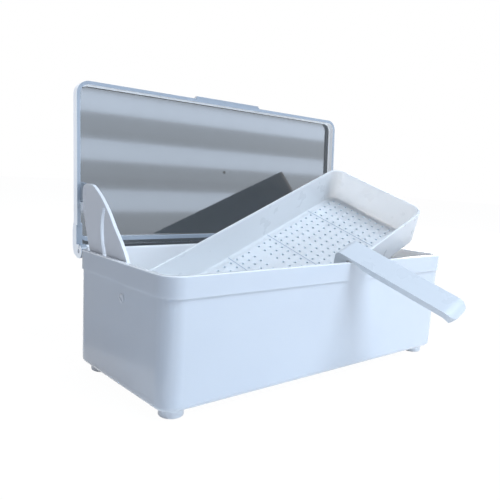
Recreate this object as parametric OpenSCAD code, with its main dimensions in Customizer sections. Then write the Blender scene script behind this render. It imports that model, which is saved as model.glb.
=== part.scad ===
// Soaking box for disinfecting small tools: a white tub on four feet, a smoke-clear hinged lid
// held by two slotted stays, and a perforated lift-out tray with a hook-on handle.
// Millimetres, +Z up, front of the box towards -Y. Shown open, with the tray lifted at an angle.

/* [Tub] */
// length of the rim, left to right
tub_l = 280; // [200:1:400]
// depth of the rim, front to back
tub_d = 121; // [90:1:200]
// height from the underside to the rim
tub_h = 80.5; // [60:0.5:140]
// wall and floor thickness
wall = 2.5; // [1.5:0.1:4]
// outer corner radius at the rim
corner_r = 13.5; // [8:0.5:25]
// height of the proud band under the rim
band_h = 13; // [6:0.5:25]
// how far the band stands proud of the wall
band_proud = 1; // [0.4:0.1:2]
// how far the wall leans in towards the bottom
draft = 0.65; // [0:0.05:2]
// rounding of the bottom edge
bottom_r = 4; // [3:0.5:10]
// small chamfer on the rim
rim_ch = 0.5; // [0:0.1:1]

/* [Feet] */
// diameter of a foot
foot_d = 15.5; // [8:0.5:25]
// height of a foot
foot_h = 6; // [3:0.5:12]
// foot centre from the end of the rim
foot_in_x = 15; // [10:0.5:40]
// foot centre from the front or back of the rim
foot_in_y = 14.8; // [10:0.5:40]
// rounding of a foot's lower edge
foot_r = 1.2; // [0.5:0.1:3]

/* [Lid] */
// gap between the lid and the mouth at each end
lid_gap = 0.45; // [0.3:0.05:1.5]
// gap between the lid and the mouth at the front
lid_gap_front = 1.25; // [0.3:0.05:3]
// how far the lid reaches over the rim at the back
lid_over_back = 1.2; // [0:0.05:3]
// how far the lid's back flange reaches past the rim
flange_out = 3; // [1:0.1:4]
// gap between the lid and the rim at the back
flange_gap = 0.6; // [0.3:0.05:2]
// thickness of panel and skirt
lid_t = 2.5; // [1.5:0.1:4]
// height of the lid from skirt edge to top
lid_h = 8.2; // [6:0.1:20]
// how far the skirt drops into the mouth
lid_drop = 0.95; // [0.5:0.05:4]
// corner radius of the lid
lid_corner_r = 9.5; // [5:0.5:20]
// rounding inside the skirt corner
lid_fillet = 1.5; // [0.5:0.1:3]
// opening angle shown
lid_open = 93; // [0:1:110]
// width of the front tab
tab_w = 69; // [30:1:120]
// how far the tab reaches out of the skirt
tab_out = 2.3; // [1:0.1:8]
// thickness of the tab
tab_t = 2.4; // [1.5:0.1:4]
// gap between tab and rim when closed
tab_gap = 0.3; // [0.1:0.05:1]

/* [Hinge] */
// hinge axis behind the rim
hinge_back = 4.5; // [4:0.1:8]
// hinge axis below the rim
hinge_down = 3.2; // [1:0.1:6]
// radius of the lid's knuckle
knuckle_r = 5; // [3.5:0.1:7]
// width of the knuckle
knuckle_w = 4.5; // [3:0.1:8]
// radius of the tub's hinge lug
lug_r = 4.5; // [3:0.1:6]
// width of the tub's hinge lug
lug_w = 6; // [3:0.1:12]
// gap between knuckle and lug
hinge_side_gap = 0.4; // [0.2:0.05:1]
// hinge pin diameter
hinge_pin_d = 3; // [2:0.1:5]
// radial play of the knuckle on its pin
hinge_play = 0.05; // [0.02:0.01:0.1]
// gap between the lid's arm and the rim
arm_gap = 0.7; // [0.3:0.1:2]

/* [Lid stays] */
// thickness of a stay
stay_t = 2.5; // [1.5:0.1:4]
// gap between a stay and the end wall at the rim
stay_wall_gap = 1.2; // [0.8:0.05:3]
// gap between a stay and the lid's lug, and to the retaining heads
stay_side_gap = 0.3; // [0.2:0.05:1]
// stay pivot in front of the hinge axis, lid open
pivot_front = 7.4; // [4:0.1:20]
// stay pivot above the hinge axis, lid open
pivot_up = 42.7; // [30:0.1:60]
// stud in front of the hinge axis
stud_front = 71.5; // [50:0.1:90]
// stud below the hinge axis
stud_down = 19.1; // [10:0.1:30]
// turn of a stay against the lid, per turn of the lid
stay_ratio = 1.03; // [1:0.01:1.2]
// pin of the stud
stud_d = 4; // [3:0.1:6]
// play of the stud pin in the slot, each side
slot_play = 0.4; // [0.2:0.05:1]
// stud head outside
stud_head_d = 5.5; // [5:0.1:9]
// thickness of the head outside
stud_head_t = 1; // [0.6:0.1:2]
// retaining head inside
stud_keep_d = 7; // [6:0.1:10]
// thickness of the retaining heads
keep_t = 1.2; // [0.8:0.1:2]
// stay pivot pin diameter
stay_pin_d = 4; // [3:0.1:6]
// retaining head of the pivot pin
stay_pin_head_d = 6.6; // [5:0.1:10]
// radial play of the pivot pin in the lid's lug
stay_pin_play = 0.05; // [0.02:0.01:0.1]
// radius round the lower end of the slot
stay_boss_r = 4.4; // [3.5:0.1:8]
// thickness of the lid's stay lug
lid_lug_t = 3; // [2:0.1:5]
// radius of the lid's stay lug round the pivot
lid_lug_r = 4.6; // [3:0.1:8]

/* [Tray] */
// room in the mouth past the tray's length
tray_room_l = 32; // [10:1:80]
// room in the mouth past the tray's depth
tray_room_d = 18; // [6:1:40]
// inside depth of the tray
tray_h = 29.8; // [15:0.1:50]
// wall and floor thickness of the tray
tray_t = 1.8; // [1.2:0.1:3]
// outer corner radius of the tray
tray_corner_r = 11; // [8:0.5:20]
// how far the tray walls lean in towards the bottom
tray_draft = 0.5; // [0:0.05:2]
// rounding of the tray's bottom edge
tray_bottom_r = 3; // [2:0.1:6]
// width of the plain border round the perforated floor
tray_border = 2.8; // [2:0.1:10]
// hole diameter
hole_d = 2.2; // [2:0.1:5]
// hole spacing
hole_pitch = 7; // [5:0.1:12]
// least distance of a hole's middle from the tray's outside
hole_edge = 9.2; // [8:0.1:20]
// spacing of the two middle columns
hole_gap = 12.5; // [7:0.1:25]
// tray middle to the right of the tub's middle
tray_x = 14.8; // [-20:0.1:20]
// tray middle behind the tub's middle
tray_y = 4.45; // [-20:0.05:20]
// gap between the tray's lowest corner and the tub's floor
tray_rest_gap = 0.63; // [0.3:0.01:3]
// tray turned about the long axis
tray_rx = 21.8; // [0:0.1:45]
// tray turned about the depth axis
tray_ry = -22.3; // [-45:0.1:0]
// tray turned about the upright axis
tray_rz = 2.8; // [-10:0.1:10]

/* [Handle] */
// handle middle to the right of the tray's middle
handle_x = 13; // [-40:0.1:40]
// width of the handle
handle_w = 20.6; // [12:0.1:40]
// gap between the handle and the front rim
handle_rim_gap = 0.4; // [0.3:0.05:3]
// thickness of the handle's plate
handle_t = 2.2; // [1.5:0.1:4]
// depth of the side webs
web_h = 4.5; // [3:0.1:10]
// thickness of the side webs
web_t = 2; // [1.2:0.1:4]
// start of the webs in front of the rim
web_start = 1.9; // [1:0.1:6]
// length over which the webs reach their depth
web_run = 8; // [3:0.1:20]
// straight length of the handle outside the tray
handle_l = 76; // [40:1:140]
// radius of the downward curl at the tip
tip_r = 13; // [8:0.5:25]
// angle of the curl
tip_a = 42; // [30:1:80]
// thickness of the wall that closes the tip between the webs
tip_wall = 2; // [1:0.1:4]
// corner radius of the tip seen from above
tip_corner_r = 6; // [2:0.1:10]
// how far the hook's inner leg reaches below the tray's rim
hook_leg = 8; // [4:0.1:20]
// how far the hook's outer lip reaches below the tray's rim
hook_lip = 2.2; // [2:0.1:15]
// gap between the inner leg and the tray wall
hook_gap_in = 5; // [0.4:0.05:8]
// inner radius of the bend into the hook
hook_bend = 2.4; // [0.5:0.1:5]
// gap between the outer lip and the tray wall
hook_gap_out = 0.8; // [0.2:0.05:2]
// gap above the tray's rim in the hook
hook_gap_top = 0.3; // [0.1:0.05:1]
// thickness of the hook's outer lip
hook_lip_t = 1.1; // [1:0.1:3]

/* [Hidden] */
$fn = 96;
eps = 0.01;
// middle of the whole open outline, so that the frame sits under it
mid_y = -26.416;
hinge_y = tub_d / 2 + hinge_back;
hinge_z = tub_h - hinge_down;
mouth_l = tub_l - 2 * (wall + band_proud);
mouth_d = tub_d - 2 * (wall + band_proud);
// tub section, measured from the middle of a corner
sec_out = corner_r - band_proud;
sec_low = sec_out - draft;
sec_in = sec_out - wall;
function tub_out(z) = sec_low + (sec_out - sec_low) * (z - bottom_r) / (tub_h - band_h - bottom_r);
// lid, closed
lid_l = mouth_l - 2 * lid_gap;
lid_d = mouth_d - lid_gap_front + lid_over_back;
lid_y = (lid_gap_front + lid_over_back) / 2;
lid_z = tub_h - lid_drop;
lid_top = lid_z + lid_h;
knuckle_x = lid_l / 2 - knuckle_w;
lug_x = knuckle_x - hinge_side_gap - lug_w;
// stays, lid open, in the end planes
stay_x = mouth_l / 2 - stay_wall_gap - stay_t;
pivot = [hinge_y - pivot_front, hinge_z + pivot_up];
hinge = [hinge_y, hinge_z];
stud = hinge - [stud_front, stud_down];
lid_lug_x = stay_x - stay_side_gap - lid_lug_t;
function turn(a, p) = [cos(a) * p[0] - sin(a) * p[1], sin(a) * p[0] + cos(a) * p[1]];
// where the stud stands in the open stay when the lid has closed by a
function stud_path(a) = pivot
    + turn((stay_ratio - 1) * a, stud - hinge - turn(a, pivot - hinge));
slot_n = 32;
slot_r = stud_d / 2 + slot_play;
slot_pts = [for (i = [0 : slot_n]) stud_path(lid_open * i / slot_n)];
function side(i, s) = let (a = slot_pts[max(i - 1, 0)], b = slot_pts[min(i + 1, slot_n)], d = b - a)
    slot_pts[i] + s * slot_r * [-d[1], d[0]] / norm(d);
slot_outline = concat([for (i = [0 : slot_n]) side(i, 1)], [for (i = [slot_n : -1 : 0]) side(i, -1)]);
// smooth line through hand-set points
function cr(p0, p1, p2, p3, t) = 0.5 * (2 * p1 + (p2 - p0) * t + (2 * p0 - 5 * p1 + 4 * p2 - p3) * t * t
    + (3 * p1 - p0 - 3 * p2 + p3) * t * t * t);
function smooth(p, n) = [for (i = [1 : len(p) - 3]) for (k = [0 : n - 1])
    cr(p[i - 1], p[i], p[i + 1], p[i + 2], k / n)];
// outline of a stay, lid open, from the hinge axis: its lower end, up the back, over the top, down the front
stay_line = [[-74, -25.3], [-70.6, -24], [-60, -22.6], [-49, -20.3], [-38, -17.1], [-27, -11.3], [-20, -3.3],
    [-16, 3.7], [-11, 13.7], [-7.5, 22.7], [-4.2, 32.7], [-2.7, 41.2], [-3.6, 46.1], [-7.5, 48.3], [-14, 48.6],
    [-20.5, 47.3], [-32, 40.7], [-43, 31.7], [-52, 22.3], [-62, 12.7], [-70, 2.7], [-74.6, -7.3],
    [-76.4, -17.8], [-76, -22.3]];
// tray section, measured from the middle of a corner
tray_l = mouth_l - tray_room_l;
tray_d = mouth_d - tray_room_d;
tray_low = tray_corner_r - tray_draft;
tray_edge = tray_low - tray_bottom_r - tray_border;
hole_cols = floor((tray_l / 2 - hole_gap / 2 - hole_edge) / hole_pitch) + 1;
hole_rows = floor((tray_d - 2 * hole_edge) / hole_pitch) + 1;
// how the tray's own axes add to depth and height when it is lifted
in_y = [sin(tray_rz) * cos(tray_ry),
    sin(tray_rz) * sin(tray_ry) * sin(tray_rx) + cos(tray_rz) * cos(tray_rx),
    sin(tray_rz) * sin(tray_ry) * cos(tray_rx) - cos(tray_rz) * sin(tray_rx)];
in_z = [-sin(tray_ry), cos(tray_ry) * sin(tray_rx), cos(tray_ry) * cos(tray_rx)];
// height of the tray's floor, with its lowest corner just above the tub's floor
tray_z = wall + tray_rest_gap + tray_bottom_r + (tray_low - tray_bottom_r) * norm([in_z[0], in_z[1]])
    + (tray_l / 2 - tray_corner_r) * in_z[0] + (tray_d / 2 - tray_corner_r) * in_z[1]
    - (tray_bottom_r - tray_t) * in_z[2];
// where the handle's lower left edge passes over the front rim, in the tray's frame
edge_x = handle_x - handle_w / 2;
to_rim_y = -tub_d / 2 - tray_y - in_y[0] * edge_x;
to_rim_z = tub_h + handle_rim_gap - tray_z - in_z[0] * edge_x;
rim_det = in_y[1] * in_z[2] - in_y[2] * in_z[1];
rim_y = (to_rim_y * in_z[2] - in_y[2] * to_rim_z) / rim_det;
handle_z = (in_y[1] * to_rim_z - in_z[1] * to_rim_y) / rim_det + handle_t;
// handle, in the tray's frame
tray_wall_y = -tray_d / 2;
leg_out = tray_wall_y + tray_t + hook_gap_in;
leg_in = leg_out + handle_t;
lip_in = tray_wall_y - hook_gap_out;
lip_out = lip_in - hook_lip_t;
saddle_z = tray_h + hook_gap_top;
bend_r = handle_t + hook_bend;
tip_wall_a = 2 * asin(tip_wall / tip_r / 2);
strip_y0 = leg_in - bend_r;
strip_y1 = lip_out - handle_l;
web_y0 = rim_y - web_start;
web_y1 = web_y0 - web_run;

module place() translate([0, -mid_y, foot_h]) children();

// a section swept round a rounded rectangle; the section's x is measured from the corner's middle
module ring(l, d, r) {
    for (a = [0 : 90 : 270]) {
        odd = a % 180 != 0;
        hx = odd ? d / 2 - r : l / 2 - r;
        hy = odd ? l / 2 - r : d / 2 - r;
        rotate(a) translate([hx, 0, 0]) rotate([90, 0, 0])
            linear_extrude(2 * hy, center = true) children();
        rotate(a) translate([hx, hy, 0]) rotate_extrude(angle = 90) children();
    }
}

module quarter(r_out, r_in) intersection() {
    difference() { circle(r_out); if (r_in > 0) circle(r_in); }
    translate([0, -r_out]) square(r_out);
}

module box_plan(l, d, r) {
    square([l - 2 * r, d], center = true);
    square([l, d - 2 * r], center = true);
    for (x = [-1, 1], y = [-1, 1]) translate([x * (l / 2 - r), y * (d / 2 - r)]) circle(r);
}

// shapes drawn in the depth-height plane, pushed out to the right from x0
module end_plate(x0, t) translate([x0, 0, 0]) rotate([90, 0, 90]) linear_extrude(t) children();

module axle(x0, len, d) translate([x0, 0, 0]) rotate([0, 90, 0]) cylinder(d = d, h = len);

module both() { children(); mirror([1, 0, 0]) children(); }

module tub_section() {
    polygon([[sec_low - wall, bottom_r], [sec_low, bottom_r], [sec_out, tub_h - band_h],
        [corner_r, tub_h - band_h], [corner_r, tub_h - rim_ch], [corner_r - rim_ch, tub_h],
        [sec_in + rim_ch, tub_h], [sec_in, tub_h - rim_ch]]);
    translate([sec_low - bottom_r, bottom_r]) quarter(bottom_r, bottom_r - wall);
    square([sec_low - bottom_r, wall]);
}

module hinge_lug() difference() {
    union() {
        translate(hinge) circle(lug_r);
        polygon([[tub_d / 2 - band_proud, hinge_z - 2 * lug_r], [tub_d / 2 - band_proud, tub_h - rim_ch],
            [hinge_y, hinge_z + lug_r], [hinge_y, hinge_z - lug_r]]);
    }
    translate(hinge) circle(d = hinge_pin_d + 0.04);
}

module tub() color("#eef0f3") place() difference() {
    union() {
        ring(tub_l, tub_d, corner_r) tub_section();
        translate([0, 0, wall / 2]) cube([tub_l - 2 * corner_r, tub_d - 2 * corner_r, wall], center = true);
        both() end_plate(lug_x, lug_w) hinge_lug();
    }
    both() translate([0, stud[0], stud[1]]) axle(stay_x, tub_l / 2 - stay_x, stud_d + 0.04);
}

module foot(sx, sy) color("#e4e6ea") place()
    translate([sx * (tub_l / 2 - foot_in_x), sy * (tub_d / 2 - foot_in_y), -foot_h]) rotate_extrude() {
        translate([0, foot_r]) square([foot_d / 2, foot_h - foot_r]);
        square([foot_d / 2 - foot_r, foot_r]);
        translate([foot_d / 2 - foot_r, foot_r]) quarter(foot_r, 0);
    }
module foot_front_left() foot(-1, -1);
module foot_front_right() foot(1, -1);
module foot_back_left() foot(-1, 1);
module foot_back_right() foot(1, 1);

module hinge_pin() color("#c9ccd1") place() translate([0, hinge_y, hinge_z])
    axle(lug_x + 0.3, lug_w + hinge_side_gap + knuckle_w - 0.6, hinge_pin_d);
module hinge_pin_right() hinge_pin();
module hinge_pin_left() mirror([1, 0, 0]) hinge_pin();

module stay_stud() color("#d7dade") place() translate([0, stud[0], stud[1]]) {
    head_x = tub_l / 2 - corner_r + tub_out(stud[1] + stud_head_d / 2);
    axle(head_x, stud_head_t, stud_head_d);
    axle(stay_x - stay_side_gap - eps, head_x - stay_x + stay_side_gap + 2 * eps, stud_d);
    axle(stay_x - stay_side_gap - keep_t, keep_t, stud_keep_d);
}
module stay_stud_right() stay_stud();
module stay_stud_left() mirror([1, 0, 0]) stay_stud();

module lid_section() {
    translate([lid_corner_r - lid_t, 0]) square([lid_t, lid_h - lid_t]);
    translate([lid_corner_r - lid_t, lid_h - lid_t]) mirror([0, 1]) quarter(lid_t, 0);
    translate([0, lid_h - lid_t]) square([lid_corner_r - lid_t, lid_t]);
    translate([lid_corner_r - lid_t - lid_fillet, lid_h - lid_t - lid_fillet])
        difference() { square(lid_fillet); circle(lid_fillet); }
}

module arm() difference() {
    union() {
        translate(hinge) circle(knuckle_r);
        polygon([[tub_d / 2 - 15.5, lid_top - lid_t / 2], [tub_d / 2 - 10, lid_top], [hinge_y - 3, lid_top],
            [hinge_y + 2, lid_top - 2], [hinge_y + knuckle_r, hinge_z + 2], [hinge_y + knuckle_r, hinge_z],
            [hinge_y - knuckle_r, hinge_z], [hinge_y - knuckle_r + 0.2, tub_h + arm_gap],
            [tub_d / 2 - 15.5, tub_h + arm_gap]]);
    }
    translate(hinge) circle(d = hinge_pin_d + 2 * hinge_play);
}

// the lug that carries a stay, drawn with the lid closed
module stay_lug() {
    p = hinge + turn(lid_open, pivot - hinge);
    difference() {
        union() {
            translate(p) circle(lid_lug_r);
            polygon([[p[0] - lid_lug_r, p[1]], [p[0] + lid_lug_r, p[1]],
                [p[0] + lid_lug_r + 3, lid_top - lid_t / 2], [p[0] - lid_lug_r - 3, lid_top - lid_t / 2]]);
        }
        translate(p) circle(d = stay_pin_d + 2 * stay_pin_play);
    }
}

// the flange that closes the lid over the back rim, between the arms
module back_flange() {
    y0 = mouth_d / 2 - lid_t;
    y1 = tub_d / 2 + flange_out;
    translate([y0, lid_top - lid_t]) square([y1 - y0, lid_t]);
    translate([y1 - lid_t, lid_top - 2 * lid_t]) square([lid_t, 1.5 * lid_t]);
}

module lid_closed() {
    difference() {
        translate([0, lid_y, lid_z]) {
            ring(lid_l, lid_d, lid_corner_r) lid_section();
            translate([0, 0, lid_h - lid_t / 2])
                cube([lid_l - 2 * lid_corner_r, lid_d - 2 * lid_corner_r, lid_t], center = true);
        }
        translate([-tub_l / 2, mouth_d / 2 - sec_in - flange_gap, 0]) cube([tub_l, tub_d, tub_h + flange_gap]);
    }
    end_plate(-knuckle_x - 0.5, 2 * knuckle_x + 1) back_flange();
    translate([0, lid_y - lid_d / 2 - tab_out, tub_h + tab_gap]) linear_extrude(tab_t) {
        translate([-tab_w / 2, tab_out / 2]) square([tab_w, tab_out / 2 + lid_t / 2]);
        translate([-tab_w / 2 + 1, 0]) square([tab_w - 2, tab_out]);
    }
    both() {
        end_plate(knuckle_x, knuckle_w) arm();
        end_plate(lid_lug_x, lid_lug_t) stay_lug();
    }
}

module lid() color([0.55, 0.6, 0.66, 0.5]) place() translate([0, hinge_y, hinge_z]) rotate([-lid_open, 0, 0])
    translate([0, -hinge_y, -hinge_z]) lid_closed();

module lid_stay() color("#f2f3f5") place() end_plate(stay_x, stay_t) difference() {
    union() {
        translate(hinge) polygon(smooth(stay_line, 5));
        translate(stud) circle(stay_boss_r);
    }
    polygon(slot_outline);
    translate(slot_pts[0]) circle(slot_r);
    translate(slot_pts[slot_n]) circle(slot_r);
    translate(pivot) circle(d = stay_pin_d + 0.04);
}
module lid_stay_right() lid_stay();
module lid_stay_left() mirror([1, 0, 0]) lid_stay();

module stay_pin() color("#d7dade") place() translate([0, pivot[0], pivot[1]]) {
    axle(lid_lug_x - stay_side_gap - eps, stay_x + stay_t - 0.1 - lid_lug_x + stay_side_gap + eps, stay_pin_d);
    axle(lid_lug_x - stay_side_gap - keep_t, keep_t, stay_pin_head_d);
}
module stay_pin_right() stay_pin();
module stay_pin_left() mirror([1, 0, 0]) stay_pin();

module lifted() translate([tray_x, tray_y, tray_z]) rotate([tray_rx, tray_ry, tray_rz]) children();

module tray_section() {
    polygon([[tray_low - tray_t, tray_bottom_r - tray_t], [tray_low, tray_bottom_r - tray_t],
        [tray_corner_r, tray_h], [tray_corner_r - tray_t, tray_h]]);
    translate([tray_low - tray_bottom_r, tray_bottom_r - tray_t])
        quarter(tray_bottom_r, tray_bottom_r - tray_t);
    translate([tray_edge, -tray_t]) square([tray_border, tray_t]);
}

module tray() color("#f4f6f9") place() lifted() ring(tray_l, tray_d, tray_corner_r) tray_section();

module tray_floor() color("#f0f3f7") place() lifted() translate([0, 0, -tray_t]) linear_extrude(tray_t)
    difference() {
        inset = 2 * (tray_corner_r - tray_edge);
        box_plan(tray_l - inset, tray_d - inset, tray_edge);
        for (s = [-1, 1], i = [0 : hole_cols - 1], j = [0 : hole_rows - 1])
            translate([s * (hole_gap / 2 + i * hole_pitch), (j - (hole_rows - 1) / 2) * hole_pitch])
                circle(d = hole_d, $fn = 24);
    }

module curl(depth, from = 0) translate([strip_y1, handle_z - tip_r]) intersection() {
    difference() { circle(tip_r); circle(tip_r - depth); }
    polygon(2 * tip_r * [[0, 0], [-sin(from), cos(from)], [-sin(tip_a), cos(tip_a)]]);
}

module handle_plate() {
    translate([strip_y1, handle_z - handle_t]) square([strip_y0 - strip_y1, handle_t]);
    translate([strip_y0, handle_z - bend_r]) mirror([0, 1]) quarter(bend_r, bend_r - handle_t);
    translate([leg_out, tray_h - hook_leg]) square([handle_t, handle_z - bend_r - tray_h + hook_leg]);
    translate([lip_out, saddle_z]) square([leg_out - lip_out, handle_z - handle_t - saddle_z]);
    translate([lip_out, tray_h - hook_lip]) square([hook_lip_t, saddle_z - tray_h + hook_lip]);
    curl(handle_t);
    curl(web_h, tip_a - tip_wall_a);
}

module handle_web() {
    polygon([[web_y0, handle_z - handle_t / 2], [web_y0, handle_z - handle_t], [web_y1, handle_z - web_h],
        [strip_y1, handle_z - web_h], [strip_y1, handle_z - handle_t / 2]]);
    curl(web_h);
}

module tray_handle() color("#f6f7f9") place() lifted() intersection() {
    union() {
        end_plate(handle_x - handle_w / 2, handle_w) handle_plate();
        for (s = [-1, 1]) end_plate(handle_x + s * (handle_w - web_t) / 2 - web_t / 2, web_t) handle_web();
    }
    tip_y = strip_y1 - tip_r * sin(tip_a);
    translate([handle_x, 0, -tray_t]) linear_extrude(handle_z + 2 * tray_t) {
        translate([-handle_w / 2, tip_y + tip_corner_r]) square([handle_w, leg_in - tip_y]);
        translate([-handle_w / 2 + tip_corner_r, tip_y]) square([handle_w - 2 * tip_corner_r, 2 * tip_corner_r]);
        for (s = [-1, 1]) translate([s * (handle_w / 2 - tip_corner_r), tip_y + tip_corner_r]) circle(tip_corner_r);
    }
}

tub();
foot_front_left();
foot_front_right();
foot_back_left();
foot_back_right();
hinge_pin_left();
hinge_pin_right();
stay_stud_left();
stay_stud_right();
lid();
lid_stay_left();
lid_stay_right();
stay_pin_left();
stay_pin_right();
tray();
tray_floor();
tray_handle();
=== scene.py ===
import math

import bmesh
import bpy
from mathutils import Euler, Matrix, Vector


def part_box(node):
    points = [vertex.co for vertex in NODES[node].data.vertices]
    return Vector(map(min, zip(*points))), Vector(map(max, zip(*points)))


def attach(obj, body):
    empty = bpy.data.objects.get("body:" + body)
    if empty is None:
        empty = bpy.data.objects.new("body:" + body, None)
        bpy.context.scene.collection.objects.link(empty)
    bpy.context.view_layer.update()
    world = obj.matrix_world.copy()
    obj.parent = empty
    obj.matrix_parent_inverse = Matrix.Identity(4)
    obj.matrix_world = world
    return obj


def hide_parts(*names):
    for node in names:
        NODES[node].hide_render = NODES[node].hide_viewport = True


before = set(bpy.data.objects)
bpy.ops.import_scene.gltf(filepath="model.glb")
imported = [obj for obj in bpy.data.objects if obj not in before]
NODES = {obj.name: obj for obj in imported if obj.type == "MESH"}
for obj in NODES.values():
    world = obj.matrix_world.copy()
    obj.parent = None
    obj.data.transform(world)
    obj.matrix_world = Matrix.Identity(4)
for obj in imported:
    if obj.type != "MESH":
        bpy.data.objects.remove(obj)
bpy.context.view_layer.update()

MM = 0.001

# The box: the middle of its depth, and its underside
TUB_DEPTH = 121 * MM
TUB_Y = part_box("tub")[0][1] + TUB_DEPTH / 2
FOOT_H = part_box("foot_front_left")[1][2]
# A point this high over the box's middle sees its inside, whose faces are painted lighter as painted
# light
OVERHEAD = 300 * MM

# The open lid leans back past upright
LID_LEAN = math.radians(3)
# Places on the lid, from its hinge: up along the panel, and back from the axis
GATE_UP = 63 * MM
KNUCKLE_UP = 20 * MM
LUG_UP = 60 * MM
RIM_BACK = 4.2 * MM
PANEL_BACK = 7.95 * MM
# Its two stay lugs lie between these distances from the middle
LUG_X = (128 * MM, 133.3 * MM)

# Snap studs in the box's ends
STUD_PIN_R = 2 * MM
STUD_KEEP_R = 3.5 * MM
STUD_KEEP_T = 1.2 * MM
STUD_HEAD_R = 2.75 * MM
STUD_HEAD_T = 1.0 * MM
STUD_TOP_R = 1.2 * MM
SLIT_W = 0.9 * MM
SLIT_DEEP = 0.7 * MM
SLIT_LONG = 7 * MM
SLIT_TURN = math.radians(38)

# The lifted tray: the middle of its floor, and its turn
TRAY_MIDDLE = Vector((14.8 * MM, TUB_Y + 4.45 * MM, FOOT_H + 63.2 * MM))
TRAY_TURN = Euler([math.radians(angle) for angle in (21.8, -22.3, 2.8)], "XYZ")
TRAY = Matrix.Translation(TRAY_MIDDLE) @ TRAY_TURN.to_matrix().to_4x4()

# The tray's floor plate and its two banks of drain holes
PLATE_HALF_L = 114.2 * MM
PLATE_HALF_D = 41.7 * MM
PLATE_CORNER_R = 4.7 * MM
PLATE_T = 1.8 * MM
PLATE_EDGE = 1.2 * MM
HOLE_R = 1.1 * MM
HOLE_PITCH = 7 * MM
HOLE_COLUMNS = 16
HOLE_ROWS = 12
BANK_GAP = 12.5 * MM
BANK_OFFSET = BANK_GAP / 2 + (HOLE_COLUMNS - 1) / 2 * HOLE_PITCH

# The moulded lines across the tray's floor, each side of its middle, counted in hole columns
LINE_COLUMNS = ((-1, 10.5), (-1, 2.5), (1, 2.5), (1, 10.5))
LINE_W = 0.7 * MM
LINE_LONG = 90 * MM
LINE_T = 0.24 * MM
LINE_MIDDLE_Z = 0.08 * MM
LINE_SOFT = 0.08 * MM

# Edges sharper than this are rounded
SHARP = math.radians(38)
# Triangles of a CAD node this near to level are one face, and points this near are one point
LEVEL = math.radians(0.6)
SAME_POINT = 0.002 * MM


# Materials

# Sizes of the patterns on white plastic: tone drifting where the melt cooled, and smears left by hands
DRIFT = 55 * MM
SMEAR = 18 * MM
# Sizes of the patterns in the lid: waves in the sheet, and haze
WAVE = 50 * MM
WAVE_DEEP = 0.4 * MM
HAZE = 12 * MM
MOULDED_IOR = 1.49
SAN_IOR = 1.57


def linear(hex_colour):
    """An sRGB hex colour as linear RGBA."""
    out = []
    for i in (1, 3, 5):
        c = int(hex_colour[i:i + 2], 16) / 255
        out.append(c / 12.92 if c <= 0.04045 else ((c + 0.055) / 1.055) ** 2.4)
    return (*out, 1.0)


def add(tree, kind, sockets=None, **settings):
    """Adds a node, sets its properties, and fills its sockets with values or links."""
    n = tree.nodes.new(kind)
    for key, value in settings.items():
        setattr(n, key, value)
    for key, value in (sockets or {}).items():
        if isinstance(value, bpy.types.NodeSocket):
            tree.links.new(value, n.inputs[key])
        else:
            n.inputs[key].default_value = value
    return n


def new_material(name):
    """An empty material and its tree."""
    m = bpy.data.materials.new(name)
    m.use_nodes = True
    m.node_tree.nodes.clear()
    return m, m.node_tree


def moulded_plastic(name, pale, deep, rough, grain_mm=0.6, grain_depth_mm=0.008, glow_mm=0.0, painted_glow=0.0):
    """Injection-moulded plastic: a soft satin sheen, slow drifts in tone where the melt cooled, and a
    fine spark-eroded grain, drawn coarser than the real one so that it shows. Milky walls carry light
    under the skin, over glow_mm. painted_glow is painted light: the faces glow in their pale colour at
    that strength, though they are no lamp."""
    m, t = new_material(name)
    where = add(t, "ShaderNodeTexCoord").outputs["Object"]
    drift = add(t, "ShaderNodeTexNoise", {
        "Vector": where, "Scale": 1 / DRIFT, "Detail": 3.0, "Roughness": 0.5})
    tone = add(t, "ShaderNodeMix", {
        "Factor": drift.outputs["Fac"], "A": linear(deep), "B": linear(pale)}, data_type="RGBA")
    smear = add(t, "ShaderNodeTexNoise", {"Vector": where, "Scale": 1 / SMEAR, "Detail": 4.0})
    gloss = add(t, "ShaderNodeMapRange", {
        "Value": smear.outputs["Fac"], "From Min": 0.3, "From Max": 0.7,
        "To Min": rough * 0.85, "To Max": rough * 1.15})
    grain = add(t, "ShaderNodeTexNoise", {"Vector": where, "Scale": 1 / (grain_mm * MM), "Detail": 2.0})
    bump = add(t, "ShaderNodeBump", {
        "Strength": 0.35, "Distance": grain_depth_mm * MM, "Height": grain.outputs["Fac"]})
    skin = add(t, "ShaderNodeBsdfPrincipled", {
        "Base Color": tone.outputs["Result"],
        "Roughness": gloss.outputs["Result"],
        "IOR": MOULDED_IOR,
        "Normal": bump.outputs["Normal"],
        "Subsurface Weight": 1.0 if glow_mm else 0.0,
        "Subsurface Radius": (1.0, 1.0, 1.0),
        "Subsurface Scale": glow_mm * MM,
        # Painted light: the faces glow in their pale colour at painted_glow strength
        "Emission Color": linear(pale),
        "Emission Strength": painted_glow})
    add(t, "ShaderNodeOutputMaterial", {"Surface": skin.outputs["BSDF"]})
    return m


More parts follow.
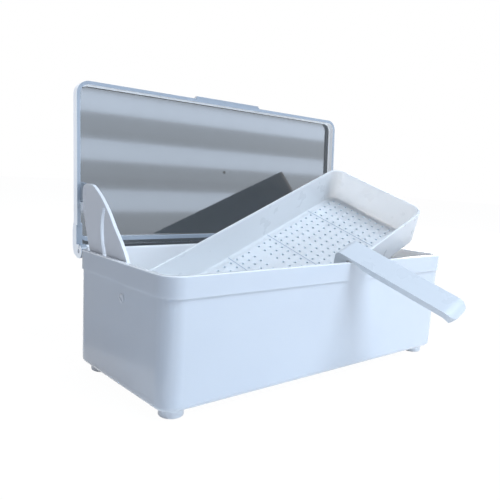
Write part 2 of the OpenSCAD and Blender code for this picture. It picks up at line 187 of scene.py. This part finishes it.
def smoke_clear_plastic(name, tint):
    """Smoke-tinted SAN moulding: see-through and polished, with the slow waviness of moulded sheet."""
    m, t = new_material(name)
    where = add(t, "ShaderNodeTexCoord").outputs["Object"]
    wave = add(t, "ShaderNodeTexNoise", {"Vector": where, "Scale": 1 / WAVE, "Detail": 1.0})
    bump = add(t, "ShaderNodeBump", {
        "Strength": 0.08, "Distance": WAVE_DEEP, "Height": wave.outputs["Fac"]})
    haze = add(t, "ShaderNodeTexNoise", {"Vector": where, "Scale": 1 / HAZE, "Detail": 4.0})
    gloss = add(t, "ShaderNodeMapRange", {
        "Value": haze.outputs["Fac"], "To Min": 0.04, "To Max": 0.1})
    skin = add(t, "ShaderNodeBsdfPrincipled", {
        "Base Color": linear(tint),
        "Transmission Weight": 1.0,
        "IOR": SAN_IOR,
        "Roughness": gloss.outputs["Result"],
        "Coat Weight": 1.0,
        "Coat IOR": SAN_IOR,
        "Coat Roughness": 0.05,
        "Normal": bump.outputs["Normal"]})
    add(t, "ShaderNodeOutputMaterial", {"Surface": skin.outputs["BSDF"]})
    return m


# The box is a cool white with a clear sheen
TUB_PLASTIC = moulded_plastic(
    "white_polypropylene_tub", "#e3e7eb", "#dfe3e8", rough=0.16, grain_mm=0.7, glow_mm=1.2)
# Its inside and the top of its rim are a whiter copy of the same plastic: painted light, standing in for
# light going to and fro between the walls. Light also soaks deeper into them
TUB_INSIDE_PAINTED_LIGHT = moulded_plastic(
    "white_polypropylene_tub_inside_painted_light", "#f9fafb", "#f6f8f9", rough=0.2, grain_mm=0.7, glow_mm=4.0)
# The tray is thin and milky, with a soft sheen
TRAY_PLASTIC = moulded_plastic(
    "white_polypropylene_tray", "#f4f6f7", "#f1f4f5", rough=0.3, glow_mm=5.0)
# The handle is a plain satin white
HANDLE_PLASTIC = moulded_plastic("white_polypropylene_handle", "#e3e7ea", "#dee3e7", rough=0.3)
# The walls of the drain holes glow faintly, as painted light standing in for light that seeps through the
# milky plate, so they look grey and not black
TRAY_BORE_GLOW = moulded_plastic(
    "white_polypropylene_bore_painted_glow", "#dfe7ef", "#d8e1ea", rough=0.36, grain_depth_mm=0.01, painted_glow=0.15)
# The lines are painted a darker grey, as painted shade for the shadow they stand in, so they show as thin
# grey strokes
TRAY_LINE_SHADE = moulded_plastic(
    "white_polypropylene_line_painted_shade", "#c3ccd6", "#b9c3ce", rough=0.36, grain_depth_mm=0.01)
# Acetal is a harder, more neutral white
STAY_PLASTIC = moulded_plastic("white_acetal_stay", "#f1f2f4", "#ebedf0", rough=0.25)
PIN_PLASTIC = moulded_plastic(
    "white_acetal_pin", "#eff1f4", "#e9ebef", rough=0.18, grain_mm=0.5, grain_depth_mm=0.01)
# The feet are a whiter copy of the box's plastic, painted lighter against the shade under the box:
# painted light. Their skin is dull
FOOT_PLASTIC_PAINTED_LIGHT = moulded_plastic(
    "white_polypropylene_foot_painted_light", "#f6f8fa", "#f2f5f8", rough=0.35, grain_mm=0.7, grain_depth_mm=0.01)
# The lid's panel is a dark, clear grey that mirrors what stands before it
LID_PLASTIC = smoke_clear_plastic("smoke_clear_SAN", "#363d44")
# The skirt's sides are painted pale and glow: painted light, standing in for the light the clear sheet
# carries into its skirt. The rim stays grey
LID_EDGE_PAINTED_LIGHT = moulded_plastic(
    "smoke_clear_SAN_edge_painted_light", "#f2f6fa", "#eaf0f6", rough=0.22, grain_depth_mm=0.02, painted_glow=0.3)
LID_RIM = moulded_plastic("smoke_clear_SAN_rim", "#a6afba", "#99a3ae", rough=0.22, grain_depth_mm=0.02)


# Mesh helpers

def put(name, mesh, material, body, slot, *nodes):
    """Shows a finished mesh as a piece that rides on a body and stands for the CAD nodes named."""
    mesh.materials.clear()
    mesh.materials.append(material)
    o = bpy.data.objects.new(name, mesh)
    bpy.context.collection.objects.link(o)
    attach(o, body)
    if nodes:
        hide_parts(*nodes)


def finished(o):
    """A plain mesh of an object with its modifiers. The object then goes."""
    deps = bpy.context.evaluated_depsgraph_get()
    mesh = bpy.data.meshes.new_from_object(o.evaluated_get(deps))
    bpy.data.objects.remove(o)
    return mesh


def smooth(mesh, angle):
    """Shades a mesh smooth, but for edges sharper than an angle in degrees."""
    mesh.shade_smooth()
    mesh.set_sharp_from_angle(angle=math.radians(angle))
    return mesh


def softened(node, width_mm):
    """A merged copy of a CAD node with its sharp edges rounded, as a mould leaves them."""
    b = bmesh.new()
    b.from_mesh(NODES[node].data)
    bmesh.ops.remove_doubles(b, verts=b.verts, dist=SAME_POINT)
    bmesh.ops.dissolve_limit(b, angle_limit=LEVEL, verts=b.verts, edges=b.edges)
    mesh = bpy.data.meshes.new(node + "_soft")
    b.to_mesh(mesh)
    b.free()
    mesh.shade_smooth()
    o = bpy.data.objects.new(node + "_soft", mesh)
    bpy.context.collection.objects.link(o)
    edge = o.modifiers.new("edge", "BEVEL")
    edge.width = width_mm * MM
    edge.segments = 3
    edge.limit_method = "ANGLE"
    edge.angle_limit = SHARP
    edge.use_clamp_overlap = True
    flat = o.modifiers.new("flat", "WEIGHTED_NORMAL")
    flat.weight = 100
    return finished(o)


def paint(material, *names):
    """Gives CAD nodes that stay shown their material."""
    for name in names:
        data = NODES[name].data
        data.materials.clear()
        data.materials.append(material)


def turned(profile, steps=40):
    """A solid of revolution round X from (x, radius) points, closed at both ends."""
    b = bmesh.new()
    rings = []
    for x, r in profile:
        ring = []
        for k in range(steps):
            a = 2 * math.pi * k / steps
            ring.append(b.verts.new((x, r * math.cos(a), r * math.sin(a))))
        rings.append(ring)
    for low, high in zip(rings, rings[1:]):
        for k in range(steps):
            b.faces.new((low[k - 1], low[k], high[k], high[k - 1]))
    b.faces.new(rings[0])
    b.faces.new(rings[-1])
    bmesh.ops.recalc_face_normals(b, faces=b.faces)
    mesh = bpy.data.meshes.new("turned")
    b.to_mesh(mesh)
    b.free()
    return mesh


# Tub, feet and pins

def tub_shell():
    """The box. Faces that look to a point overhead are its inside and the top of its rim, and get the
    whiter copy of its plastic as painted light.
    """
    mesh = softened("tub", width_mm=0.45)
    put("tub_shell", mesh, TUB_PLASTIC, "tub_body", "white_plastic", "tub")
    mesh.materials.append(TUB_INSIDE_PAINTED_LIGHT)
    overhead = Vector((0, TUB_Y, OVERHEAD))
    # The inside and the rim top take the whiter copy: painted light
    for face in mesh.polygons:
        if face.normal.dot(overhead - face.center) > 0:
            face.material_index = 1


tub_shell()
for corner in ("front_left", "front_right", "back_left", "back_right"):
    put("foot_pad_" + corner, softened("foot_" + corner, width_mm=0.3), FOOT_PLASTIC_PAINTED_LIGHT,
        "tub_body", "foot_plastic", "foot_" + corner)
paint(PIN_PLASTIC, "hinge_pin_left", "hinge_pin_right", "stay_pin_left", "stay_pin_right")


# Lid

def lid_axes():
    """A point on the open lid's hinge, the way in from its panel, and the way up along it."""
    low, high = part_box("hinge_pin_left")
    hinge = (Vector(low) + Vector(high)) / 2
    inward = Vector((0, -math.cos(LID_LEAN), math.sin(LID_LEAN)))
    upward = Vector((0, math.sin(LID_LEAN), math.cos(LID_LEAN)))
    return hinge, inward, upward


def lid_shell():
    """The lid: a clear panel, a grey rim, low edge and lugs, and a skirt whose sides are painted pale and
    glowing, as painted light.
    """
    hinge, inward, upward = lid_axes()
    mesh = softened("lid", width_mm=0.3)
    put("lid_shell", mesh, LID_PLASTIC, "lid_body", "smoke_clear", "lid")
    mesh.materials.append(LID_RIM)
    mesh.materials.append(LID_EDGE_PAINTED_LIGHT)
    for face in mesh.polygons:
        facing = face.normal.dot(inward)
        is_wall = abs(facing) < 0.8
        is_deep = (face.center - hinge).dot(inward) < -RIM_BACK
        if not is_wall and (facing < 0 or is_deep):
            continue
        reach = max((mesh.vertices[i].co - hinge).dot(upward) for i in face.vertices)
        is_lug = LUG_X[0] < abs(face.center.x) < LUG_X[1] and reach < LUG_UP
        if not is_wall or reach < KNUCKLE_UP or is_lug:
            face.material_index = 1
        # The skirt's sides take the pale, glowing copy: painted light
        elif abs(face.normal.x) > 0.7 or face.normal.dot(upward) < 0:
            face.material_index = 2


def gate_mark():
    """The small round scar in the middle of the panel, where the melt came into the mould."""
    hinge, inward, upward = lid_axes()
    place = Vector((0, hinge.y, hinge.z)) + GATE_UP * upward - PANEL_BACK * inward
    mark = turned([(-0.1 * MM, 1.3 * MM), (0.12 * MM, 1.3 * MM),
                   (0.18 * MM, 1.1 * MM), (0.05 * MM, 0.8 * MM)], 24)
    mark.transform(Matrix.Rotation(math.radians(-90), 4, "Z"))
    mark.transform(Matrix.Translation(place) @ Matrix.Rotation(-LID_LEAN, 4, "X"))
    put("gate_mark", smooth(mark, 30), LID_PLASTIC, "lid_body", "smoke_clear")


lid_shell()
gate_mark()


# Studs and stays

def stud_slit(x):
    """The block that cuts the slit into a stud's head, whose top lies at x."""
    mesh = bpy.data.meshes.new("slit")
    size = Matrix.Diagonal((2 * SLIT_DEEP, SLIT_LONG, SLIT_W, 1))
    b = bmesh.new()
    bmesh.ops.create_cube(
        b, size=1, matrix=Matrix.Translation((x, 0, 0)) @ Matrix.Rotation(SLIT_TURN, 4, "X") @ size)
    b.to_mesh(mesh)
    b.free()
    return mesh


def stud(side):
    """A snap stud: domed, slit head outside, pin through the wall and the slot, retaining head inside."""
    low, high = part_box("stay_stud_" + side)
    y = (low[1] + high[1]) / 2
    z = (low[2] + high[2]) / 2
    x0, x1 = (low[0], high[0]) if side == "right" else (-high[0], -low[0])
    keep = x0 + STUD_KEEP_T
    head = x1 - STUD_HEAD_T
    profile = [(x0, 2.9 * MM), (x0 + 0.3 * MM, STUD_KEEP_R), (keep, STUD_KEEP_R), (keep, STUD_PIN_R),
               (head, STUD_PIN_R), (head, STUD_HEAD_R), (head + 0.45 * MM, 2.7 * MM),
               (head + 0.8 * MM, 2.3 * MM), (x1, STUD_TOP_R)]
    pin = bpy.data.objects.new("stud_cut", turned(profile))
    knife = bpy.data.objects.new("knife", stud_slit(x1))
    for o in (pin, knife):
        bpy.context.collection.objects.link(o)
    cut = pin.modifiers.new("slit", "BOOLEAN")
    cut.object = knife
    cut.operation = "DIFFERENCE"
    cut.solver = "EXACT"
    mesh = finished(pin)
    bpy.data.objects.remove(knife)
    if side == "left":
        mesh.transform(Matrix.Diagonal((-1, 1, 1, 1)))
        mesh.flip_normals()
    mesh.transform(Matrix.Translation((0, y, z)))
    put("stay_stud_slit_" + side, smooth(mesh, 35), PIN_PLASTIC,
        "tub_body", "pin_plastic", "stay_stud_" + side)


for side in ("left", "right"):
    stud(side)
    put("stay_plate_" + side, softened("lid_stay_" + side, width_mm=0.45), STAY_PLASTIC,
        "stay_%s_body" % side, "stay_plastic", "lid_stay_" + side)


# Tray and handle

put("tray_wall", softened("tray", width_mm=0.5), TRAY_PLASTIC, "tray_body", "tray_plastic", "tray")
put("lifting_handle", softened("tray_handle", width_mm=0.6), HANDLE_PLASTIC,
    "handle_body", "tray_plastic", "tray_handle")


def floor_plate():
    """The plain floor between the tray's borders, with round corners, in the tray's own frame."""
    r = PLATE_CORNER_R
    corner_x = PLATE_HALF_L - r
    corner_y = PLATE_HALF_D - r
    ring = []
    for cx, cy, start in ((1, 1, 0), (-1, 1, 90), (-1, -1, 180), (1, -1, 270)):
        for k in range(9):
            a = math.radians(start + 90 * k / 8)
            ring.append((cx * corner_x + r * math.cos(a), cy * corner_y + r * math.sin(a)))
    b = bmesh.new()
    low = [b.verts.new((x, y, -PLATE_T)) for x, y in ring]
    top = [b.verts.new((x, y, 0)) for x, y in ring]
    b.faces.new(top)
    b.faces.new(low[::-1])
    for k in range(len(ring)):
        b.faces.new((low[k - 1], low[k], top[k], top[k - 1]))
    mesh = bpy.data.meshes.new("floor_plate")
    b.to_mesh(mesh)
    b.free()
    return mesh


def perforator():
    """One drain hole's cutter: a plain bore with a small lead-in at both faces."""
    over = 0.2 * MM
    lead = 0.1 * MM
    wide = HOLE_R + over + lead
    mesh = turned([(-PLATE_T - over, wide), (-PLATE_T + lead, HOLE_R), (-lead, HOLE_R), (over, wide)], 20)
    mesh.transform(Matrix.Rotation(math.radians(-90), 4, "Y"))
    return mesh


def perforation_tree():
    """Geometry nodes: two banks of drain holes on a grid, cut out of the plate."""
    t = bpy.data.node_groups.new("drain_holes", "GeometryNodeTree")
    face = t.interface
    face.new_socket("Geometry", in_out="INPUT", socket_type="NodeSocketGeometry")
    for name, kind, value in (("Pitch", "NodeSocketFloat", HOLE_PITCH),
                              ("Columns", "NodeSocketInt", HOLE_COLUMNS),
                              ("Rows", "NodeSocketInt", HOLE_ROWS),
                              ("Bank offset", "NodeSocketFloat", BANK_OFFSET),
                              ("Cutter", "NodeSocketObject", None),
                              ("Plastic", "NodeSocketMaterial", None)):
        s = face.new_socket(name, in_out="INPUT", socket_type=kind)
        if value is not None:
            s.default_value = value
    face.new_socket("Geometry", in_out="OUTPUT", socket_type="NodeSocketGeometry")
    given = add(t, "NodeGroupInput").outputs

    def span(count):
        less = add(t, "ShaderNodeMath", {0: given[count], 1: 1.0}, operation="SUBTRACT")
        whole = add(t, "ShaderNodeMath", {0: less.outputs[0], 1: given["Pitch"]}, operation="MULTIPLY")
        return whole.outputs[0]

    grid = add(t, "GeometryNodeMeshGrid", {
        "Size X": span("Columns"), "Size Y": span("Rows"),
        "Vertices X": given["Columns"], "Vertices Y": given["Rows"]})
    right = add(t, "ShaderNodeCombineXYZ", {"X": given["Bank offset"]})
    back = add(t, "ShaderNodeMath", {0: given["Bank offset"], 1: -1.0}, operation="MULTIPLY")
    left = add(t, "ShaderNodeCombineXYZ", {"X": back.outputs[0]})
    banks = add(t, "GeometryNodeJoinGeometry")
    for bank in (right, left):
        moved = add(t, "GeometryNodeTransform", {
            "Geometry": grid.outputs["Mesh"], "Translation": bank.outputs["Vector"]})
        t.links.new(moved.outputs["Geometry"], banks.inputs["Geometry"])
    cutter = add(t, "GeometryNodeObjectInfo", {"Object": given["Cutter"]}, transform_space="ORIGINAL")
    holes = add(t, "GeometryNodeInstanceOnPoints", {
        "Points": banks.outputs["Geometry"], "Instance": cutter.outputs["Geometry"]})
    real = add(t, "GeometryNodeRealizeInstances", {"Geometry": holes.outputs["Instances"]})
    cut = add(t, "GeometryNodeMeshBoolean", operation="DIFFERENCE", solver="EXACT")
    t.links.new(given["Geometry"], cut.inputs["Mesh 1"])
    t.links.new(real.outputs["Geometry"], cut.inputs["Mesh 2"])
    solid = add(t, "GeometryNodeRealizeInstances", {"Geometry": cut.outputs["Mesh"]})
    coat = add(t, "GeometryNodeSetMaterial", {
        "Geometry": solid.outputs["Geometry"], "Material": given["Plastic"]})
    add(t, "NodeGroupOutput", {"Geometry": coat.outputs["Geometry"]})
    return t


def perforated_floor():
    """The floor plate with its drain holes, whose walls have a faintly glowing material of their own:
    painted light.
    """
    plate = bpy.data.objects.new("plate", floor_plate())
    cutter = bpy.data.objects.new("cutter", perforator())
    for o in (plate, cutter):
        bpy.context.collection.objects.link(o)
    mod = plate.modifiers.new("holes", "NODES")
    mod.node_group = perforation_tree()
    for item in mod.node_group.interface.items_tree:
        if item.in_out == "INPUT" and item.name == "Cutter":
            mod[item.identifier] = cutter
        if item.in_out == "INPUT" and item.name == "Plastic":
            mod[item.identifier] = TRAY_PLASTIC
    mesh = finished(plate)
    bpy.data.objects.remove(cutter)
    # Steep faces away from the plate's own edge are walls of holes
    bores = []
    for face in mesh.polygons:
        inside_x = abs(face.center.x) < PLATE_HALF_L - PLATE_EDGE
        inside_y = abs(face.center.y) < PLATE_HALF_D - PLATE_EDGE
        bores.append(abs(face.normal.z) < 0.8 and inside_x and inside_y)
    mesh.transform(TRAY)
    put("perforated_floor", smooth(mesh, 25), TRAY_PLASTIC, "tray_body", "tray_plastic", "tray_floor")
    # The hole walls take the glowing copy: painted light
    mesh.materials.append(TRAY_BORE_GLOW)
    mesh.polygons.foreach_set("material_index", [int(bore) for bore in bores])


perforated_floor()


def floor_lines():
    """Low moulded lines across the floor, between the hole columns, in a darker grey as painted shade."""
    size = Matrix.Diagonal((LINE_W, LINE_LONG, LINE_T, 1))
    b = bmesh.new()
    for side, column in LINE_COLUMNS:
        x = side * (BANK_GAP / 2 + column * HOLE_PITCH)
        bmesh.ops.create_cube(b, size=1, matrix=Matrix.Translation((x, 0, LINE_MIDDLE_Z)) @ size)
    bmesh.ops.bevel(b, geom=b.edges[:], offset=LINE_SOFT, segments=1, affect="EDGES")
    mesh = bpy.data.meshes.new("floor_lines")
    b.to_mesh(mesh)
    b.free()
    mesh.transform(TRAY)
    put("floor_lines", mesh, TRAY_LINE_SHADE, "tray_body", "tray_plastic")


floor_lines()


# Camera, floor and light

# The camera at the photograph's viewing angle: its place and its own axes
EYE = (-0.30037, TUB_Y - 0.31243, FOOT_H + 0.13699)
EYE_RIGHT = (0.76094, -0.64613, 0.05908)
EYE_UP = (0.03941, 0.13692, 0.98980)
EYE_BACK = (-0.64763, -0.75085, 0.12965)

# The studio's paper floor: its half width, its level just under the feet, and how it shows
PAPER_HALF = 6.0
PAPER_Z = -0.2 * MM
PAPER_SHOWN = 0.95
PAPER_WHITE = 1.03
# The lit paper ends in a slanting line beside the box, and is dim in reflections beyond it
LIT_X = -0.1825
LIT_SLANT = 0.205
LIT_Y = TUB_Y + 0.013
LIT_SOFT = 0.005
LIT_DIM = 0.4

# The wall of lamps in front: its middle, how far off it stands, its panels' width and their spread
WALL_X = 1.1
PANEL_OFF = 1.46
PANEL_W = 1.6
STRIP_OFF = 1.4
STRIP_W = 1.5
WALL_SPREAD = 150


def camera():
    """The scene's camera."""
    data = bpy.data.cameras.new("camera")
    data.lens = 40.08
    data.sensor_width = 36.0
    data.clip_start = 0.01
    o = bpy.data.objects.new("camera", data)
    bpy.context.collection.objects.link(o)
    rows = [[EYE_RIGHT[i], EYE_UP[i], EYE_BACK[i], EYE[i]] for i in range(3)]
    o.matrix_world = Matrix(rows + [[0, 0, 0, 1]])
    bpy.context.scene.camera = o


def softbox(name, place, aim, size, power, colour="#ffffff", spread=180):
    """A rectangular lamp that looks at a point. Its power is in watts and its spread in degrees."""
    data = bpy.data.lights.new(name, "AREA")
    data.shape = "RECTANGLE"
    data.size = size[0]
    data.size_y = size[1]
    data.energy = power
    data.color = linear(colour)[:3]
    data.spread = math.radians(spread)
    o = bpy.data.objects.new(name, data)
    bpy.context.collection.objects.link(o)
    o.location = place
    o.rotation_euler = (Vector(aim) - Vector(place)).to_track_quat("-Z", "Y").to_euler()


def any_ray(tree, path, *kinds):
    """One where Light Path finds a ray of any of these kinds, or else zero."""
    found = path.outputs[kinds[0]]
    for kind in kinds[1:]:
        more = add(tree, "ShaderNodeMath", {0: found, 1: path.outputs[kind]}, operation="MAXIMUM")
        found = more.outputs[0]
    return found


def room():
    """A dim, cool room, which looks plain white, also in a mirror and through the lid."""
    world = bpy.data.worlds.new("studio")
    bpy.context.scene.world = world
    world.use_nodes = True
    t = world.node_tree
    t.nodes.clear()
    path = add(t, "ShaderNodeLightPath")
    seen = any_ray(t, path, "Is Camera Ray", "Is Glossy Ray", "Is Transmission Ray")
    dim = add(t, "ShaderNodeBackground", {"Color": linear("#e3ebff"), "Strength": 0.27})
    white = add(t, "ShaderNodeBackground", {"Color": linear("#ffffff"), "Strength": 1.0})
    both = add(t, "ShaderNodeMixShader", {0: seen, 1: dim.outputs[0], 2: white.outputs[0]})
    add(t, "ShaderNodeOutputWorld", {"Surface": both.outputs[0]})


def paper():
    """Pale matt paper that shows as white and keeps a trace of the object's shadow."""
    m, t = new_material("pale_studio_floor")
    path = add(t, "ShaderNodeLightPath")
    matt = add(t, "ShaderNodeBsdfDiffuse", {"Color": linear("#f4f4f4")})
    seen = any_ray(t, path, "Is Camera Ray", "Is Glossy Ray", "Is Transmission Ray")
    # The box's left end reflects the dim stretch beyond the lit paper
    where = add(t, "ShaderNodeNewGeometry").outputs["Position"]
    across = add(t, "ShaderNodeVectorMath", {
        0: where, 1: (1.0, -LIT_SLANT, 0.0)}, operation="DOT_PRODUCT")
    edge = LIT_X - LIT_SLANT * LIT_Y
    lit = add(t, "ShaderNodeMapRange", {
        "Value": across.outputs["Value"], "From Min": edge - LIT_SOFT, "From Max": edge + LIT_SOFT,
        "To Min": LIT_DIM, "To Max": 1.0})
    straight = any_ray(t, path, "Is Camera Ray", "Is Transmission Ray")
    share = add(t, "ShaderNodeMath", {0: lit.outputs["Result"], 1: straight}, operation="MAXIMUM")
    level = add(t, "ShaderNodeMath", {0: share.outputs[0], 1: PAPER_WHITE}, operation="MULTIPLY")
    glow = add(t, "ShaderNodeEmission", {"Color": linear("#ffffff"), "Strength": level.outputs[0]})
    part = add(t, "ShaderNodeMath", {0: seen, 1: PAPER_SHOWN}, operation="MULTIPLY")
    both = add(t, "ShaderNodeMixShader", {0: part.outputs[0], 1: matt.outputs[0], 2: glow.outputs[0]})
    add(t, "ShaderNodeOutputMaterial", {"Surface": both.outputs[0]})
    return m


def studio_floor():
    """A wide sheet of the paper."""
    corners = [(x * PAPER_HALF, y * PAPER_HALF, PAPER_Z) for x, y in ((-1, -1), (1, -1), (1, 1), (-1, 1))]
    mesh = bpy.data.meshes.new("studio_floor")
    mesh.from_pydata(corners, [], [(0, 1, 2, 3)])
    mesh.materials.append(paper())
    ground = bpy.data.objects.new("studio_floor", mesh)
    bpy.context.collection.objects.link(ground)


def wall_lamp(name, off, z, wide, tall, bright, colour):
    """One lamp of the wall in front, upright at height z and about as bright as the number says."""
    softbox(name, place=(WALL_X, TUB_Y - off, z), aim=(WALL_X, TUB_Y, z), size=(wide, tall),
            power=bright * math.pi * wide * tall, colour=colour, spread=WALL_SPREAD)


def lamps():
    """Soft studio light: a key from above, a wall of lamps in front and a warm box behind."""
    softbox("key", place=(0.35, -0.9, 1.7), aim=(0, TUB_Y, 0.08), size=(1.2, 1.0), power=34,
            colour="#d8e9fb")
    # Wide panels, dimmer towards the floor
    for name, z, tall, bright in (("panel_high", 0.54, 0.19, 1.4),
                                  ("panel_middle", 0.36, 0.17, 1.2),
                                  ("panel_low", 0.165, 0.22, 1.0)):
        wall_lamp(name, PANEL_OFF, z, PANEL_W, tall, bright, "#d7e8fb")
    # Three long strips before them, which lie as bands in the lid
    for name, z, tall, bright in (("strip_high", 0.531, 0.072, 2.45),
                                  ("strip_middle", 0.363, 0.075, 2.1),
                                  ("strip_low", 0.184, 0.08, 1.85)):
        wall_lamp(name, STRIP_OFF, z, STRIP_W, tall, bright, "#d7e8ff")
    # Behind on the right, shining through the thin milky walls
    softbox("side_box", place=(1.5, 0.55, 0.55), aim=(0.1, TUB_Y, 0.1), size=(1.0, 0.8), power=20,
            colour="#fff4e6")


camera()
bpy.context.scene.view_settings.view_transform = "Standard"
room()
studio_floor()
lamps()
